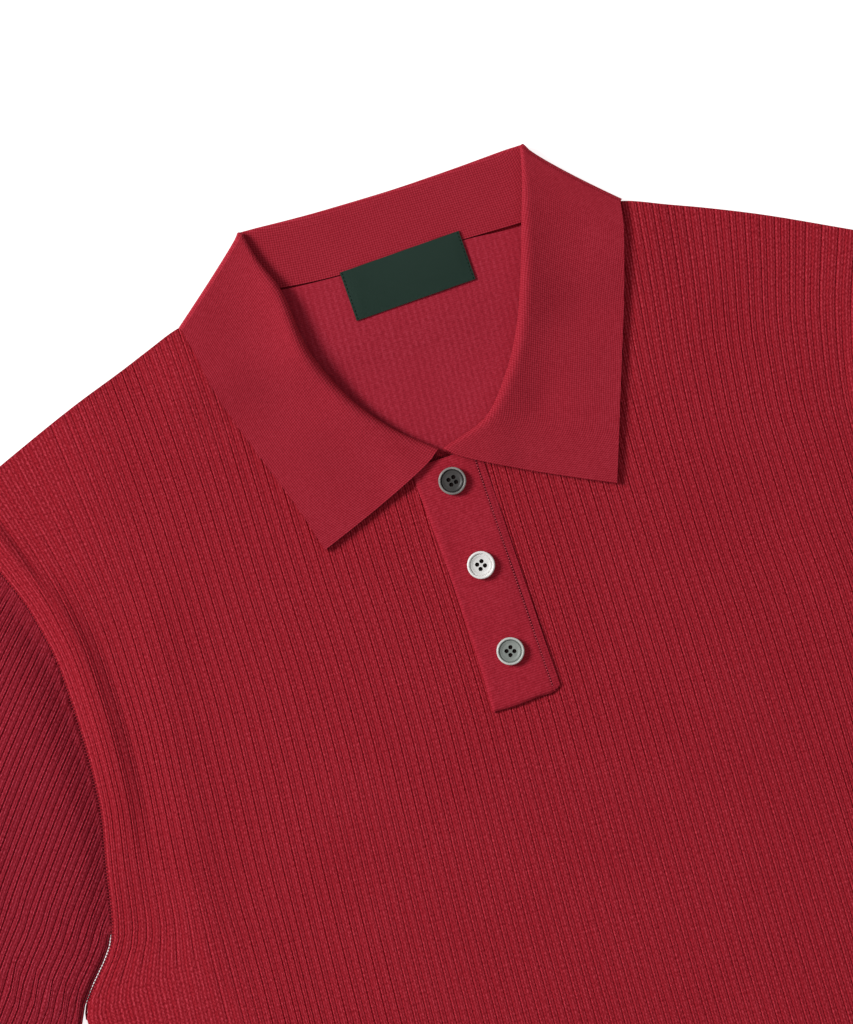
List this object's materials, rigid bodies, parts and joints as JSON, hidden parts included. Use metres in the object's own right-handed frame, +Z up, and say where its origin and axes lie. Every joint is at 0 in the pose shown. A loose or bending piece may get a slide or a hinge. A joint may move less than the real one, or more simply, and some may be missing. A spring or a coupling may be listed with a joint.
{
  "type": "knitted polo-collar sweater",
  "caption": "Long-sleeved rib-knit sweater with a turned-down polo collar and a short buttoned placket, lying flat with its front up.",
  "frame": {"origin": "centre of the box's footprint, on the surface that the sweater lies on", "axes": "+X across the garment towards the sleeve at the viewer's right, +Y from the hem to the collar, +Z up through the front"},
  "size_m": [1.2192, 0.719, 0.0147],
  "materials": {
    "body_knit": "matte fine wool rib, deep red",
    "sleeve_knit": "matte fine wool rib, deep red",
    "collar_knit": "matte fine milano knit, deep red",
    "placket_knit": "matte fine milano knit, deep red",
    "button_dark": "polished dark grey shell look",
    "button_pale": "polished pearl white shell look",
    "button_grey": "polished grey-green shell look",
    "label_weave": "matte woven tape, dark green"
  },
  "bodies": {
    "root": {"back": "body_knit", "front": "body_knit", "sleeve_left": "sleeve_knit", "sleeve_right": "sleeve_knit", "collar": "collar_knit", "placket_under": "placket_knit", "placket_top": "placket_knit", "button_top": "button_dark", "button_middle": "button_pale", "button_bottom": "button_grey", "label": "label_weave"}
  },
  "joints": []
}
